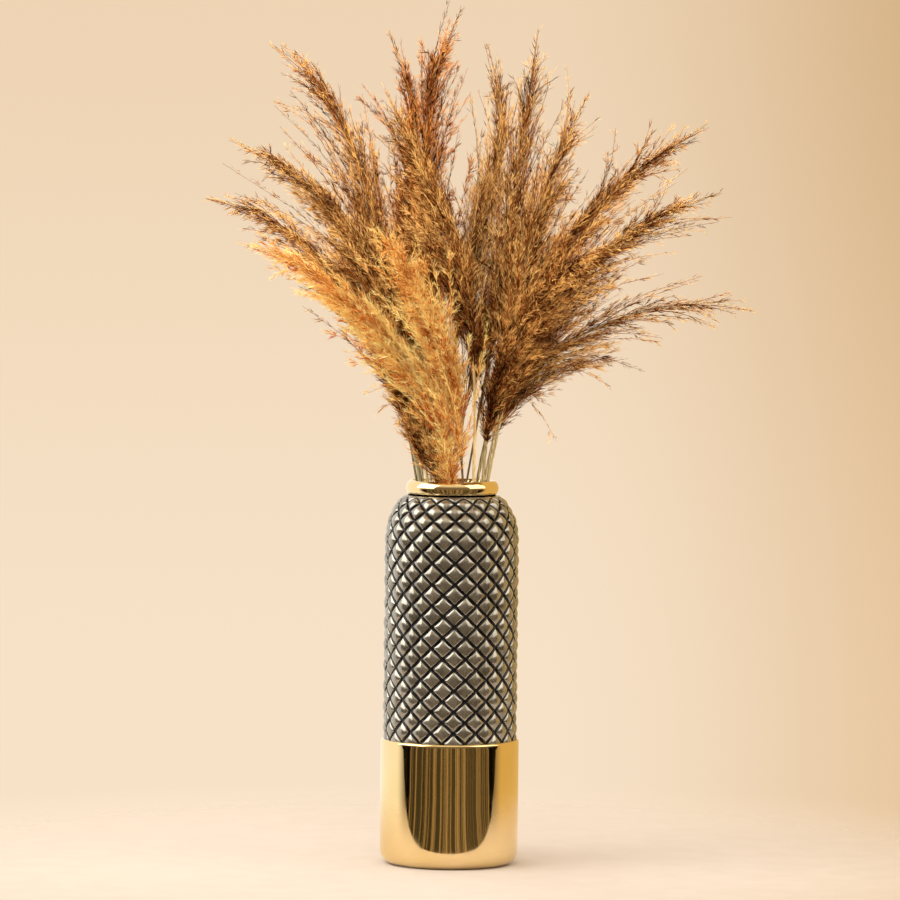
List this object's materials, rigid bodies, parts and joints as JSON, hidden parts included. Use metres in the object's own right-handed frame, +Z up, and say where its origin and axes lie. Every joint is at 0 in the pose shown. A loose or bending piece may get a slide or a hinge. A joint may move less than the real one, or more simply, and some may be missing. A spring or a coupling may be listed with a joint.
{
  "type": "vase of dried pampas grass",
  "caption": "Tall ceramic vase with a studded pewter wall, a gold base and a gold rolled lip, holding a loose, spreading bunch of dried pampas grass plumes.",
  "frame": {"origin": "centre of the vase's flat foot, on the surface that it stands on", "axes": "+Z up along the vase's axis, +X to the right and -Y to the front as the picture shows it"},
  "size_m": [0.52, 0.376, 0.813],
  "materials": {
    "vase_glaze": "gloss",
    "straw_stem": "satin",
    "plume_orange": "matte",
    "plume_tan": "matte",
    "plume_rust": "matte",
    "plume_brown": "matte"
  },
  "bodies": {
    "root": {"vase": "vase_glaze", "stem_01": "straw_stem", "stem_02": "straw_stem", "stem_03": "straw_stem", "stem_04": "straw_stem", "stem_05": "straw_stem", "stem_06": "straw_stem", "stem_07": "straw_stem", "stem_08": "straw_stem", "stem_09": "straw_stem", "stem_10": "straw_stem", "stem_11": "straw_stem", "stem_12": "straw_stem", "stem_13": "straw_stem", "stem_14": "straw_stem", "stem_15": "straw_stem", "stem_16": "straw_stem", "stem_17": "straw_stem", "stem_18": "straw_stem", "plume_01": "plume_tan", "plume_02": "plume_tan", "plume_03": "plume_brown", "plume_04": "plume_tan", "plume_05": "plume_brown", "plume_06": "plume_tan", "plume_07": "plume_rust", "plume_08": "plume_brown", "plume_09": "plume_rust", "plume_10": "plume_brown", "plume_11": "plume_brown", "plume_12": "plume_brown", "plume_13": "plume_tan", "plume_14": "plume_orange", "plume_15": "plume_orange", "plume_16": "plume_tan", "plume_17": "plume_brown", "plume_18": "plume_tan"}
  },
  "joints": []
}
